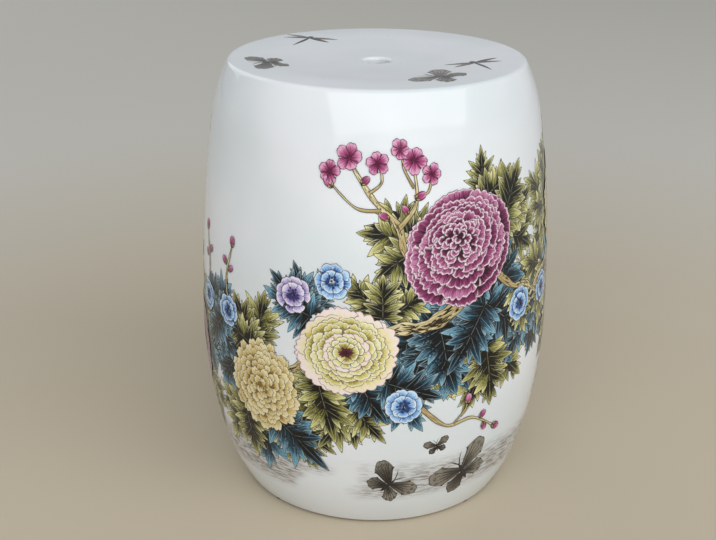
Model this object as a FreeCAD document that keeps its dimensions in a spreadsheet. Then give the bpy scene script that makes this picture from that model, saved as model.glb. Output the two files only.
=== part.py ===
"""Ceramic garden stool, a barrel of porcelain with a lift hole in its seat.

The stool is thrown and pressed in sections that are luted together before the one firing:
a foot ring, a lower and an upper barrel, and a seat. A tongue on each rim seats in a groove
of the section above, and soft coils are pressed into the two inner joints that can be reached
from below. Four thin pads under the foot ring keep it off the floor.

Millimetres, +Z up, origin on the floor under the middle of the stool.
"""
import FreeCAD, Part
import math
import os

import Sketcher

# Driving sizes: alias, value, what it measures

SIZES = (
    ("stool_height", 460, "floor to the flat rim of the seat"),
    ("belly_radius", 184, "outer radius at the widest place"),
    ("belly_height", 186, "height of the widest place and of the joint between the barrels"),
    ("lower_curve", 524, "side's curve from the belly down to the lower turn"),
    ("lower_turn", 63, "height where the side turns in to the foot"),
    ("foot_curve", 214, "side's curve from the lower turn to the floor"),
    ("upper_curve", 1550, "side's curve from the belly up to the shoulder"),
    ("shoulder_drop", 58, "depth under the seat's rim where the shoulder starts"),
    ("shoulder_curve", 185, "side's curve over the shoulder"),
    ("wall", 9, "thickness of both barrels"),
    ("seat_rim", 15, "seat's thickness at its rim"),
    ("edge_round", 6, "rounding between the side and the seat"),
    ("dish_radius", 132, "radius of the hollow in the seat, inside its flat rim"),
    ("dish_depth", 4.6, "depth of the hollow at its middle"),
    ("dish_blend", 400, "curve that eases the flat rim into the hollow"),
    ("hole_radius", 14, "lift hole"),
    ("lip_round", 3, "rounding of the lift hole at the top"),
    ("under_round", 1.5, "rounding of the lift hole underneath"),
    ("foot_ring_height", 20, "from the foot ring's underside to its joint"),
    ("foot_ring_width", 13, "thickness of the foot ring"),
    ("foot_round", 2, "rounding of the foot ring's two lower edges"),
    ("tongue_width", 3, "tongue on each rim, across the wall"),
    ("tongue_rise", 3, "tongue on each rim, upwards"),
    ("tongue_inset", 3, "from the outer face to the tongue"),
    ("slip_gap", 0.3, "slip left round each tongue"),
    ("coil_leg", 11, "shoulder coil, along the seat and down the wall"),
    ("coil_hollow", 26, "shoulder coil, curve of its smoothed face"),
    ("bead_rise", 12, "belly coil, above and below its joint"),
    ("bead_depth", 4, "belly coil, how far it stands in from the wall"),
    ("pad_thickness", 2, "pads under the foot ring"),
    ("pad_radius", 5, "radius of each pad"),
    ("pad_count", 4, "number of pads"),
    ("pad_turn", 45, "degrees from the +X axis to the first pad"),
)

# Places that follow from the driving sizes: alias, formula over the sheet above.
# The side is four tangent arcs; each inner arc shares its outer arc's centre.

PLACES = (
    ("lower_slope", "asin((Sizes.lower_turn - Sizes.belly_height) / Sizes.lower_curve)"),
    ("upper_turn", "Sizes.stool_height - Sizes.shoulder_drop"),
    ("upper_slope", "asin((upper_turn - Sizes.belly_height) / Sizes.upper_curve)"),
    ("lower_axis", "Sizes.belly_radius - Sizes.lower_curve"),
    ("upper_axis", "Sizes.belly_radius - Sizes.upper_curve"),
    ("foot_axis", "lower_axis + (Sizes.lower_curve - Sizes.foot_curve) * cos(lower_slope)"),
    ("foot_level", "Sizes.belly_height + (Sizes.lower_curve - Sizes.foot_curve) * sin(lower_slope)"),
    ("shoulder_axis", "upper_axis + (Sizes.upper_curve - Sizes.shoulder_curve) * cos(upper_slope)"),
    ("shoulder_level",
     "Sizes.belly_height + (Sizes.upper_curve - Sizes.shoulder_curve) * sin(upper_slope)"),
    ("lower_inner_curve", "Sizes.lower_curve - Sizes.wall"),
    ("foot_inner_curve", "Sizes.foot_curve - Sizes.wall"),
    ("upper_inner_curve", "Sizes.upper_curve - Sizes.wall"),
    ("shoulder_inner_curve", "Sizes.shoulder_curve - Sizes.wall"),
    ("foot_joint", "Sizes.pad_thickness + Sizes.foot_ring_height"),
    ("seat_joint", "Sizes.stool_height - Sizes.seat_rim"),
    ("foot_outer", "foot_axis + sqrt(Sizes.foot_curve^2 - (Sizes.pad_thickness - foot_level)^2)"),
    ("foot_inner", "foot_outer - Sizes.foot_ring_width"),
    ("foot_joint_outer", "foot_axis + sqrt(Sizes.foot_curve^2 - (foot_joint - foot_level)^2)"),
    ("foot_joint_inner", "foot_axis + sqrt(foot_inner_curve^2 - (foot_joint - foot_level)^2)"),
    ("foot_ring_inner", "foot_joint_outer - Sizes.foot_ring_width"),
    ("lower_turn_outer", "lower_axis + Sizes.lower_curve * cos(lower_slope)"),
    ("lower_turn_inner", "lower_axis + lower_inner_curve * cos(lower_slope)"),
    ("lower_turn_inside", "Sizes.belly_height + lower_inner_curve * sin(lower_slope)"),
    ("belly_inner", "Sizes.belly_radius - Sizes.wall"),
    ("upper_turn_outer", "upper_axis + Sizes.upper_curve * cos(upper_slope)"),
    ("upper_turn_inner", "upper_axis + upper_inner_curve * cos(upper_slope)"),
    ("upper_turn_inside", "Sizes.belly_height + upper_inner_curve * sin(upper_slope)"),
    ("seat_joint_outer",
     "shoulder_axis + sqrt(Sizes.shoulder_curve^2 - (seat_joint - shoulder_level)^2)"),
    ("seat_joint_inner",
     "shoulder_axis + sqrt(shoulder_inner_curve^2 - (seat_joint - shoulder_level)^2)"),
    ("seat_outer",
     "shoulder_axis + sqrt(Sizes.shoulder_curve^2 - (Sizes.stool_height - shoulder_level)^2)"),
    ("dish_slope", "2 * atan(Sizes.dish_depth / Sizes.dish_radius)"),
    ("dish_curve", "Sizes.dish_radius / sin(dish_slope) - Sizes.dish_blend"),
    ("dish_turn", "Sizes.dish_radius - Sizes.dish_blend * sin(dish_slope)"),
    ("dish_turn_level", "Sizes.stool_height - Sizes.dish_blend * (1 - cos(dish_slope))"),
    ("dish_at_hole",
     "Sizes.stool_height - Sizes.dish_depth + dish_curve - sqrt(dish_curve^2 - Sizes.hole_radius^2)"),
    ("coil_bottom", "seat_joint - Sizes.coil_leg"),
    ("coil_bottom_outer",
     "shoulder_axis + sqrt(shoulder_inner_curve^2 - (coil_bottom - shoulder_level)^2)"),
    ("coil_top_inner", "seat_joint_inner - Sizes.coil_leg"),
    ("bead_bottom", "Sizes.belly_height - Sizes.bead_rise"),
    ("bead_top", "Sizes.belly_height + Sizes.bead_rise"),
    ("bead_bottom_outer", "lower_axis + sqrt(lower_inner_curve^2 - Sizes.bead_rise^2)"),
    ("bead_top_outer", "upper_axis + sqrt(upper_inner_curve^2 - Sizes.bead_rise^2)"),
    ("bead_curve", "(Sizes.bead_rise^2 + Sizes.bead_depth^2) / (2 * Sizes.bead_depth)"),
    ("pad_ring", "foot_outer - Sizes.foot_ring_width / 2"),
)

doc = FreeCAD.newDocument("garden_stool")


def fill_sheet(name, rows, lead):
    """A sheet with one row for each value: its alias, the value or formula, and a note."""
    sheet = doc.addObject("Spreadsheet::Sheet", name)
    for line, row in enumerate(rows, 1):
        sheet.set(f"A{line}", row[0])
        sheet.set(f"B{line}", f"{lead}{row[1]}")
        sheet.setAlias(f"B{line}", row[0])
        sheet.set(f"C{line}", " ".join(row[2:]))
    doc.recompute()
    return sheet


sizes = fill_sheet("Sizes", SIZES, "")
places = fill_sheet("Places", PLACES, "=")
SIZE_NAMES = {row[0] for row in SIZES}


def bound(formula):
    """A formula for setExpression: each name in it led by the sheet that holds it."""
    words = formula.split()
    for index, word in enumerate(words):
        if word in SIZE_NAMES:
            words[index] = f"Sizes.{word}"
        elif word.isidentifier():
            words[index] = f"Places.{word}"
    return " ".join(words)


def number(formula):
    """What a formula over the two sheets comes to."""
    return float(sizes.evalExpression(bound(formula)))


def new_body(label):
    """An empty body at the stool's origin."""
    body = doc.addObject("PartDesign::Body", label)
    body.Label = label
    body.Placement = FreeCAD.Placement()
    return body


def new_sketch(body, name, role):
    """A sketch on one of the body's own origin planes."""
    sketch = body.newObject("Sketcher::SketchObject", name)
    plane = next(item for item in body.Origin.OriginFeatures if item.Role == role)
    sketch.AttachmentSupport = (plane, [""])
    sketch.MapMode = "FlatFace"
    return sketch


def arc_between(start, end, radius, bulge):
    """The short arc from start to end; bulge 1 bends it to the right of the way, -1 to the left."""
    chord = end - start
    half = chord.Length / 2
    aside = FreeCAD.Vector(chord.y, -chord.x, 0).normalize()
    centre = start + chord / 2 - aside * bulge * math.sqrt(radius**2 - half**2)
    ends = (start, end) if bulge > 0 else (end, start)
    angles = [math.atan2(point.y - centre.y, point.x - centre.x) for point in ends]
    if angles[1] < angles[0]:
        angles[1] += 2 * math.pi
    return Part.ArcOfCircle(Part.Circle(centre, FreeCAD.Vector(0, 0, 1), radius), *angles)


def draw_section(sketch, corners):
    """A closed section. Each corner is (x, z) and, where the edge to the next corner is round,
    that edge's radius and its bulge. Every x, z and radius is bound to the sheets."""
    points = [FreeCAD.Vector(number(corner[0]), number(corner[1]), 0) for corner in corners]
    starts = []
    ends = []
    for index, corner in enumerate(corners):
        here = points[index]
        there = points[(index + 1) % len(points)]
        if len(corner) == 2:
            edge = sketch.addGeometry(Part.LineSegment(here, there))
            starts.append((edge, 1))
            ends.append((edge, 2))
            continue
        radius, bulge = corner[2:]
        edge = sketch.addGeometry(arc_between(here, there, number(radius), bulge))
        starts.append((edge, 1 if bulge > 0 else 2))
        ends.append((edge, 2 if bulge > 0 else 1))
        rule = sketch.addConstraint(Sketcher.Constraint("Radius", edge, number(radius)))
        sketch.setExpression(f"Constraints[{rule}]", bound(radius))
    for index, corner in enumerate(corners):
        sketch.addConstraint(Sketcher.Constraint("Coincident", *ends[index - 1], *starts[index]))
        for way, formula in (("DistanceX", corner[0]), ("DistanceY", corner[1])):
            rule = sketch.addConstraint(
                Sketcher.Constraint(way, -1, 1, *starts[index], number(formula)))
            sketch.setExpression(f"Constraints[{rule}]", bound(formula))


def turn_section(label, corners):
    """A body made by turning one section round the stool's axis."""
    body = new_body(label)
    sketch = new_sketch(body, f"{label}_section", "XZ_Plane")
    draw_section(sketch, corners)
    turned = body.newObject("PartDesign::Revolution", f"{label}_turned")
    turned.Profile = sketch
    turned.ReferenceAxis = (sketch, ["V_Axis"])
    turned.Angle = 360
    sketch.Visibility = False
    doc.recompute()
    return body, turned


def round_edges(body, base, circles, size, name):
    """Rounds the circular edges of base, given by radius and height, by a size of the sheet."""
    found = []
    for radius, height in circles:
        for index, edge in enumerate(base.Shape.Edges, 1):
            curve = edge.Curve
            if not isinstance(curve, Part.Circle):
                continue
            if abs(curve.Radius - number(radius)) < 0.01 and abs(curve.Center.z - number(height)) < 0.01:
                found.append(f"Edge{index}")
    fillet = body.newObject("PartDesign::Fillet", name)
    fillet.Base = (base, found)
    fillet.setExpression("Radius", bound(size))
    doc.recompute()
    return fillet


def tongue(outer, level):
    """Corners of the tongue on a rim at this level, from its inner foot to its outer foot."""
    far = f"{outer} - tongue_inset - tongue_width"
    near = f"{outer} - tongue_inset"
    crest = f"{level} + tongue_rise"
    return [(far, level), (far, crest), (near, crest), (near, level)]


def groove(outer, level):
    """Corners of the groove that the tongue of this rim seats in, with the slip's room round it."""
    far = f"{outer} - tongue_inset - tongue_width - slip_gap"
    near = f"{outer} - tongue_inset + slip_gap"
    crest = f"{level} + tongue_rise + slip_gap"
    return [(near, level), (near, crest), (far, crest), (far, level)]


def make_foot_ring():
    """The turned ring that the stool stands on, thicker than the wall."""
    body, turned = turn_section("foot_ring", [
        ("foot_inner", "pad_thickness"),
        ("foot_outer", "pad_thickness", "foot_curve", 1),
        ("foot_joint_outer", "foot_joint"),
        *reversed(tongue("foot_joint_outer", "foot_joint")),
        ("foot_ring_inner", "foot_joint"),
    ])
    round_edges(
        body, turned,
        [("foot_inner", "pad_thickness"), ("foot_outer", "pad_thickness")],
        "foot_round", "foot_ring_round")
    return body


def make_lower_barrel():
    """The wall from the foot ring up to the belly, where it is widest."""
    body, _ = turn_section("lower_barrel", [
        ("foot_joint_outer", "foot_joint", "foot_curve", 1),
        ("lower_turn_outer", "lower_turn", "lower_curve", 1),
        ("belly_radius", "belly_height"),
        *reversed(tongue("belly_radius", "belly_height")),
        ("belly_inner", "belly_height", "lower_inner_curve", -1),
        ("lower_turn_inner", "lower_turn_inside", "foot_inner_curve", -1),
        ("foot_joint_inner", "foot_joint"),
        *reversed(groove("foot_joint_outer", "foot_joint")),
    ])
    return body


def make_upper_barrel():
    """The wall from the belly up over the shoulder to the seat."""
    body, _ = turn_section("upper_barrel", [
        ("belly_radius", "belly_height", "upper_curve", 1),
        ("upper_turn_outer", "upper_turn", "shoulder_curve", 1),
        ("seat_joint_outer", "seat_joint"),
        *reversed(tongue("seat_joint_outer", "seat_joint")),
        ("seat_joint_inner", "seat_joint", "shoulder_inner_curve", -1),
        ("upper_turn_inner", "upper_turn_inside", "upper_inner_curve", -1),
        ("belly_inner", "belly_height"),
        *reversed(groove("belly_radius", "belly_height")),
    ])
    return body


def make_seat_top():
    """The seat: a slab, flat at its rim, slightly hollow inside it, with a round lift hole."""
    body, turned = turn_section("seat_top", [
        ("seat_joint_outer", "seat_joint", "shoulder_curve", 1),
        ("seat_outer", "stool_height"),
        ("dish_radius", "stool_height", "dish_blend", 1),
        ("dish_turn", "dish_turn_level", "dish_curve", -1),
        ("hole_radius", "dish_at_hole"),
        ("hole_radius", "seat_joint"),
        *reversed(groove("seat_joint_outer", "seat_joint")),
    ])
    rim = round_edges(body, turned, [("seat_outer", "stool_height")], "edge_round", "seat_edge")
    lip = round_edges(body, rim, [("hole_radius", "dish_at_hole")], "lip_round", "hole_lip")
    round_edges(body, lip, [("hole_radius", "seat_joint")], "under_round", "hole_under")
    return body


def make_shoulder_coil():
    """Coil of clay pressed into the corner under the seat and smoothed hollow."""
    body, _ = turn_section("shoulder_coil", [
        ("coil_bottom_outer", "coil_bottom", "shoulder_inner_curve", 1),
        ("seat_joint_inner", "seat_joint"),
        ("coil_top_inner", "seat_joint", "coil_hollow", -1),
    ])
    return body


def make_belly_coil():
    """Flat bead of clay pressed over the joint of the two barrels."""
    body, _ = turn_section("belly_coil", [
        ("bead_bottom_outer", "bead_bottom", "lower_inner_curve", 1),
        ("belly_inner", "belly_height", "upper_inner_curve", 1),
        ("bead_top_outer", "bead_top", "bead_curve", 1),
    ])
    return body


def make_foot_pads():
    """Thin round pads stuck under the foot ring, evenly round it."""
    body = new_body("foot_pads")
    body.AllowCompound = True
    body.setExpression("Placement.Rotation.Angle", bound("pad_turn"))
    sketch = new_sketch(body, "foot_pads_outline", "XY_Plane")
    centre = FreeCAD.Vector(number("pad_ring"), 0, 0)
    circle = Part.Circle(centre, FreeCAD.Vector(0, 0, 1), number("pad_radius"))
    edge = sketch.addGeometry(circle)
    for kind, where, formula in (
            ("Radius", (edge,), "pad_radius"),
            ("DistanceX", (-1, 1, edge, 3), "pad_ring")):
        rule = sketch.addConstraint(Sketcher.Constraint(kind, *where, number(formula)))
        sketch.setExpression(f"Constraints[{rule}]", bound(formula))
    sketch.addConstraint(Sketcher.Constraint("PointOnObject", edge, 3, -1))
    pad = body.newObject("PartDesign::Pad", "foot_pads_pad")
    pad.Profile = sketch
    pad.setExpression("Length", bound("pad_thickness"))
    doc.recompute()
    ring = body.newObject("PartDesign::PolarPattern", "foot_pads_ring")
    ring.Originals = [pad]
    ring.Axis = (sketch, ["N_Axis"])
    ring.Angle = 360
    ring.setExpression("Occurrences", bound("pad_count"))
    body.Tip = ring
    sketch.Visibility = False
    doc.recompute()
    return body


def check_document():
    """Stops when any object failed or any piece has no sound shape."""
    for item in doc.Objects:
        bad = {"Invalid", "Error"} & set(item.State)
        if bad:
            raise RuntimeError(f"{item.Name} failed: {sorted(bad)}")
        if item.TypeId == "Sketcher::SketchObject" and item.solve() != 0:
            raise RuntimeError(f"{item.Name} can't be solved")
    for piece in pieces:
        if piece.Shape.isNull() or not piece.Shape.isValid():
            raise RuntimeError(f"{piece.Label} has no valid shape")


pieces = [
    make_foot_ring(),
    make_lower_barrel(),
    make_upper_barrel(),
    make_seat_top(),
    make_shoulder_coil(),
    make_belly_coil(),
    make_foot_pads(),
]
doc.recompute()
check_document()

os.makedirs("parts", exist_ok=True)
for piece in pieces:
    piece.Shape.exportStep(f"parts/{piece.Label}.step")
    box = piece.Shape.optimalBoundingBox()
    print(f"{piece.Label}: {len(piece.Shape.Solids)} solid(s), {piece.Shape.Volume / 1000:.1f} cm3,"
          f" {box.XLength:.1f} x {box.YLength:.1f} x {box.ZLength:.1f} mm, z from {box.ZMin:.1f}")
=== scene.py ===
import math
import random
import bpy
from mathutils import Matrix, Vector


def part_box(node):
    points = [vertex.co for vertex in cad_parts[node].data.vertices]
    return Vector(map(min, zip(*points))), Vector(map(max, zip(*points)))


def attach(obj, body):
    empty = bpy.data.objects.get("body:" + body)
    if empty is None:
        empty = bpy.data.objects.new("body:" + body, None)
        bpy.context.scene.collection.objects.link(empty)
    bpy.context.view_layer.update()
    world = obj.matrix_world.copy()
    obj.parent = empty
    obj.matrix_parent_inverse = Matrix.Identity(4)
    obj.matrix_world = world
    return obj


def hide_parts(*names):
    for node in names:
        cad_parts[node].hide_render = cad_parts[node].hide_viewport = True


bl_info = {
    "name": "Painted garden stool",
    "version": (1, 0, 0),
    "blender": (4, 5, 0),
    "location": "View3D > Sidebar > Garden Stool",
    "description": "A glazed porcelain drum stool with overglaze enamel flowers round its side",
    "category": "Add Mesh",
}

from collections import namedtuple
from contextlib import contextmanager

import bmesh
import bpy
from bpy.props import FloatProperty, FloatVectorProperty, IntProperty, PointerProperty
from bpy.types import Operator, Panel, PropertyGroup
from mathutils import Matrix, Vector

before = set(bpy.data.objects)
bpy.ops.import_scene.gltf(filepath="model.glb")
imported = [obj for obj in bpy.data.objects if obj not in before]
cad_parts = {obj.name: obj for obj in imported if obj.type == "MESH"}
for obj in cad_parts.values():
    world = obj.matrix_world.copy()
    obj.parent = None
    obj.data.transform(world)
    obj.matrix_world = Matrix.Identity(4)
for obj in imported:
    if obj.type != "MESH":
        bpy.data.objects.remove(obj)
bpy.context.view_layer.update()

BODY = "root"
MM = 0.001


def linear(code):
    """An sRGB hex colour as the linear colour that shaders work in."""
    shares = [int(code[place:place + 2], 16) / 255 for place in (1, 3, 5)]
    return (*[c / 12.92 if c <= 0.04045 else ((c + 0.055) / 1.055) ** 2.4 for c in shares], 1.0)


def number(name, description, default, **more):
    """A number that the user can change."""
    return FloatProperty(name=name, description=description, default=default, **more)


def length(name, description, default):
    """A size in metres that the user can change."""
    return number(name, description, default, unit="LENGTH", precision=4)


def angle(name, description, degrees):
    """An angle that the user can change, given in degrees."""
    return number(name, description, math.radians(degrees), subtype="ANGLE")


def colour(name, description, code):
    """A colour that the user can change, given as sRGB hex."""
    return FloatVectorProperty(
        name=name, description=description, default=linear(code), size=4, subtype="COLOR", min=0.0, max=1.0
    )


class StoolSizes(PropertyGroup):
    """Sizes of the turned porcelain body"""

    belly_radius: length("Belly radius", "Radius at the widest height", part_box("upper_barrel")[1].x)
    belly_height: length("Belly height", "Height of the widest place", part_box("upper_barrel")[0].z)
    stool_height: length("Stool height", "Floor to seat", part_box("seat_top")[1].z)
    seat_under: length("Seat underside", "Height of the seat slab's underside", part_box("seat_top")[0].z)
    foot_joint: length("Foot joint", "Height of the foot ring's joint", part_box("lower_barrel")[0].z)
    foot_bottom: length("Foot bottom", "Height of the bare foot over the floor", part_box("foot_ring")[0].z)
    lower_curve: length("Lower curve", "Curve radius of the wall below the belly", 0.524)
    lower_turn: length("Lower turn", "Height where the wall turns in to the foot", 0.063)
    foot_curve: length("Foot curve", "Curve radius of the wall at the foot", 0.214)
    upper_curve: length("Upper curve", "Curve radius of the wall above the belly", 1.55)
    shoulder_drop: length("Shoulder drop", "Seat to the start of the shoulder's curve", 0.058)
    shoulder_curve: length("Shoulder curve", "Curve radius of the shoulder", 0.185)
    wall: length("Wall", "Thickness of the thrown wall", 0.009)
    edge_round: length("Edge round", "Rounding between shoulder and seat", 0.006)
    dish_radius: length("Dish radius", "Radius of the seat's shallow dish", 0.132)
    dish_depth: length("Dish depth", "Depth of the seat's shallow dish", 0.0046)
    dish_blend: length("Dish blend", "Curve radius between dish and flat rim", 0.4)
    hole_radius: length("Hole radius", "Radius of the lift hole", 0.014)
    lip_round: length("Lip round", "Rounding of the lift hole's top", 0.003)
    under_round: length("Under round", "Rounding of the lift hole's underside", 0.0015)
    foot_width: length("Foot width", "Width of the foot ring's bare bottom", 0.013)
    foot_round: length("Foot round", "Rounding of the foot ring's bottom edges", 0.002)
    sides: IntProperty(name="Sides", description="Faces round the turned body", default=240, min=24)


class StoolColours(PropertyGroup):
    """Colours of the glaze, the clay, the pads, the ink, the enamels and the stage"""

    glaze: colour("Glaze", "Clear glaze over white porcelain", "#E7EAEE")
    # This bluish grey marks where the glaze pools in clouds, and is also painted shade towards the foot
    glaze_pools_and_foot_shade: colour("Cool glaze", "Where the glaze lies thicker", "#DAE1E4")
    ground: colour("Ground wash", "Thin grey wash under the flowers", "#8C8279")
    speck: colour("Speck", "Iron specks in the glaze", "#4A4038")
    biscuit: colour("Biscuit", "Bare fired porcelain", "#DCD3C3")
    rubber: colour("Rubber", "Pads under the foot", "#1A1917")
    ink: colour("Ink", "Outlines drawn before the enamels", "#2A2420")
    floor: colour("Floor", "The floor near the stool", "#C2B7A2")
    floor_far: colour("Far floor", "The floor far from the stool", "#CDCBC3")
    sky: colour("Room", "Light of the room", "#E9EBEE")


# The four colours of a stroke of each enamel, and what each of the four is for
ENAMEL_PARTS = {"deep": "Foot", "mid": "Body", "light": "Tip", "rim": "Rim"}
ENAMELS = {
    "magenta": ("#360A22", "#7C2E5A", "#BC7A9F", "#F2E0E9"),
    "cream": ("#8E7C3C", "#CFC67A", "#E8E2B8", "#F3F0E2"),
    "blush": ("#CDB64C", "#E8DDB0", "#EFE2DC", "#EBD4DA"),
    "gold": ("#84652F", "#CDB675", "#E9DDB2", "#F6EFD8"),
    "blue": ("#2A4788", "#7BAADC", "#BFDAF1", "#EDF4FA"),
    "violet": ("#43347A", "#A79ACD", "#E4DCEE", "#F2ECF4"),
    "heart": ("#360C18", "#5A1A2E", "#7E3048", "#8C4A5E"),
    "teal": ("#050F13", "#1B4256", "#78AFC6", "#C9DFE6"),
    "olive": ("#101008", "#838140", "#DCD894", "#F3F0C6"),
    "bark": ("#3E2E18", "#B39E6C", "#E0D5AA", "#C9B480"),
    "bud": ("#651A40", "#A24876", "#DDA3C2", "#8E3F6A"),
    "wash": ("#2E2B27", "#5B564E", "#8F897E", "#3A3630"),
}
for family, codes in ENAMELS.items():
    for (part, place), code in zip(ENAMEL_PARTS.items(), codes):
        entry = colour(f"{family.capitalize()}, {part}", f"{place} of a stroke of {family} enamel", code)
        StoolColours.__annotations__[f"{family}_{part}"] = entry


class PaintingSizes(PropertyGroup):
    """Sizes of the enamel painting"""

    leaf_lift: number("Leaf lift", "Height of the lowest leaf over the glaze in mm", 0.05)
    branch_lift: number("Branch lift", "Height of the branches over the glaze in mm", 0.66)
    bloom_lift: number("Bloom lift", "Height of the blooms over the glaze in mm", 0.84)
    outline: number("Outline", "Width of the ink outline in mm", 0.72)


class StageSettings(PropertyGroup):
    """The camera, the floor and the light"""

    camera_back: length("Camera distance", "Camera to the stool's axis along the floor", 1.2291)
    camera_height: length("Camera height", "Camera over the floor", 0.7167)
    camera_pitch: angle("Pitch", "How far the camera looks down", 21.77)
    camera_yaw: angle("Yaw", "Camera turned to its left", 0.83)
    camera_roll: angle("Roll", "Camera leaned to its left", 0.36)
    lens: number("Lens", "Focal length in mm", 61.34)
    sensor: number("Sensor", "Sensor width in mm", 36.0)
    floor_radius: length("Floor radius", "Radius of the round floor", 9.0)
    lamp_aim: length("Lamp aim", "Height on the stool's axis that the lamps face", 0.3)
    window_power: number("Window", "Power of the window light", 147.0, unit="POWER")
    panes_power: number("Low panes", "Power of its dim low part", 16.0, unit="POWER")
    fill_power: number("Fill", "Power of the light from behind", 32.0, unit="POWER")
    room_strength: number("Room strength", "Strength of the room's light", 0.52)


# Turned body

# A round stretch of the wall: its middle's radius and height, its curve radius, and the height of its top
Arc = namedtuple("Arc", "radius height curve top", defaults=(None,))
# A very thin row of faces beside a joint keeps its seam from showing
JOINT_ROW = 0.2 * MM
# Points nearer than SAME_POINT are one, and heights or radii nearer than SAME_LEVEL are alike
SAME_POINT = 0.001 * MM
SAME_LEVEL = 0.01 * MM
# Edges that turn more than this stay crisp
SHARP = math.radians(40)


def rise_at(arc, height, inset=0.0):
    """The angle on an arc of the wall, from level, at a height; inset moves it inside the wall."""
    return math.asin((height - arc.height) / (arc.curve - inset))


def point_on(arc, rise, inset=0.0):
    """Radius and height of an arc's point at an angle."""
    curve = arc.curve - inset
    return arc.radius + curve * math.cos(rise), arc.height + curve * math.sin(rise)


def side_arcs(sizes):
    """The arcs of the outer wall from the foot up to the seat, each smooth with the next."""
    belly = sizes.belly_radius
    middle = sizes.belly_height
    shoulder_start = sizes.stool_height - sizes.shoulder_drop
    lower = Arc(belly - sizes.lower_curve, middle, sizes.lower_curve, middle)
    upper = Arc(belly - sizes.upper_curve, middle, sizes.upper_curve, shoulder_start)
    foot_middle = point_on(lower, rise_at(lower, sizes.lower_turn), sizes.foot_curve)
    shoulder_middle = point_on(upper, rise_at(upper, shoulder_start), sizes.shoulder_curve)
    foot = Arc(*foot_middle, sizes.foot_curve, sizes.lower_turn)
    shoulder = Arc(*shoulder_middle, sizes.shoulder_curve, sizes.stool_height)
    return foot, lower, upper, shoulder


def seat_arcs(sizes):
    """The convex blend and the concave dish of the seat, and the slope at which they meet."""
    slope = 2 * math.atan(sizes.dish_depth / sizes.dish_radius)
    dish_curve = sizes.dish_radius / math.sin(slope) - sizes.dish_blend
    blend = Arc(sizes.dish_radius, sizes.stool_height - sizes.dish_blend, sizes.dish_blend)
    dish = Arc(0.0, sizes.stool_height - sizes.dish_depth + dish_curve, dish_curve)
    return blend, dish, slope


class Section:
    """A lathe section in the XZ plane, drawn stretch by stretch, then turned round the Z axis"""

    def __init__(self, radius, height):
        self.mesh = bmesh.new()
        self.start = self.mesh.verts.new((radius, 0, height))
        self.tip = self.start

    def line(self, radius, height, steps=1):
        """A straight stretch to a point."""
        begin = self.tip.co.copy()
        end = Vector((radius, 0, height))
        for step in range(steps):
            grown = bmesh.ops.extrude_vert_indiv(self.mesh, verts=[self.tip])
            self.tip = grown["verts"][0]
            self.tip.co = begin.lerp(end, (step + 1) / steps)

    def arc(self, middle, sweep, steps):
        """A round stretch about a point, anticlockwise where the sweep is above 0."""
        grown = bmesh.ops.spin(
            self.mesh,
            geom=[self.tip],
            cent=(middle[0], 0, middle[1]),
            axis=(0, -1, 0),
            angle=sweep,
            steps=steps,
        )
        self.tip = grown["geom_last"][0]

    def wall_arc(self, arc, start, end, steps, joint_first=True):
        """A stretch of the wall between two angles, with the thin row of a joint at its start or its end."""
        row = math.copysign(JOINT_ROW / arc.curve, end - start)
        stretches = ((row, 1), (end - start - row, steps))
        for sweep, rows in stretches if joint_first else reversed(stretches):
            self.arc(arc, sweep, rows)

    def turn(self, sides):
        """Closes the section and turns it into a ring."""
        self.mesh.edges.new((self.tip, self.start))
        bmesh.ops.spin(
            self.mesh,
            geom=self.mesh.verts[:] + self.mesh.edges[:],
            cent=(0, 0, 0),
            axis=(0, 0, 1),
            angle=math.tau,
            steps=sides,
            use_merge=True,
        )
        bmesh.ops.remove_doubles(self.mesh, verts=self.mesh.verts, dist=SAME_POINT)
        bmesh.ops.recalc_face_normals(self.mesh, faces=self.mesh.faces)
        return self.mesh


def place_piece(mesh, name, materials, sharp=None):
    """Turns a bmesh into an object that rides on the stool."""
    for face in mesh.faces:
        face.smooth = True
    if sharp is not None:
        for edge in mesh.edges:
            if edge.is_manifold and edge.calc_face_angle(0.0) > sharp:
                edge.smooth = False
    data = bpy.data.meshes.new(name)
    mesh.to_mesh(data)
    mesh.free()
    for material in materials:
        data.materials.append(material)
    piece = bpy.data.objects.new(name, data)
    bpy.context.scene.collection.objects.link(piece)
    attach(piece, BODY)
    return piece


def seat_section(sizes):
    """The seat slab: shoulder edge, flat rim, shallow dish, lift hole and underside."""
    shoulder = side_arcs(sizes)[-1]
    joint = rise_at(shoulder, sizes.seat_under)
    edge_rise = rise_at(shoulder, sizes.stool_height - sizes.edge_round, sizes.edge_round)
    blend, dish, slope = seat_arcs(sizes)
    lip_radius = sizes.hole_radius + sizes.lip_round
    lip_slope = math.asin(lip_radius / dish.curve)
    lip_height = dish.height - dish.curve * math.cos(lip_slope) - sizes.lip_round
    under_middle = (sizes.hole_radius + sizes.under_round, sizes.seat_under + sizes.under_round)
    section = Section(*point_on(shoulder, joint))
    section.wall_arc(shoulder, joint, edge_rise, 5)
    section.arc(point_on(shoulder, edge_rise, sizes.edge_round), math.pi / 2 - edge_rise, 10)
    section.line(sizes.dish_radius, sizes.stool_height, 3)
    section.arc(blend, slope, 8)
    section.arc(dish, lip_slope - slope, 24)
    section.arc((lip_radius, lip_height), math.pi / 2 - lip_slope, 8)
    section.line(sizes.hole_radius, under_middle[1], 2)
    section.arc(under_middle, math.pi / 2, 4)
    section.line(point_on(shoulder, joint)[0] - sizes.wall, sizes.seat_under, 6)
    return section


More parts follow.
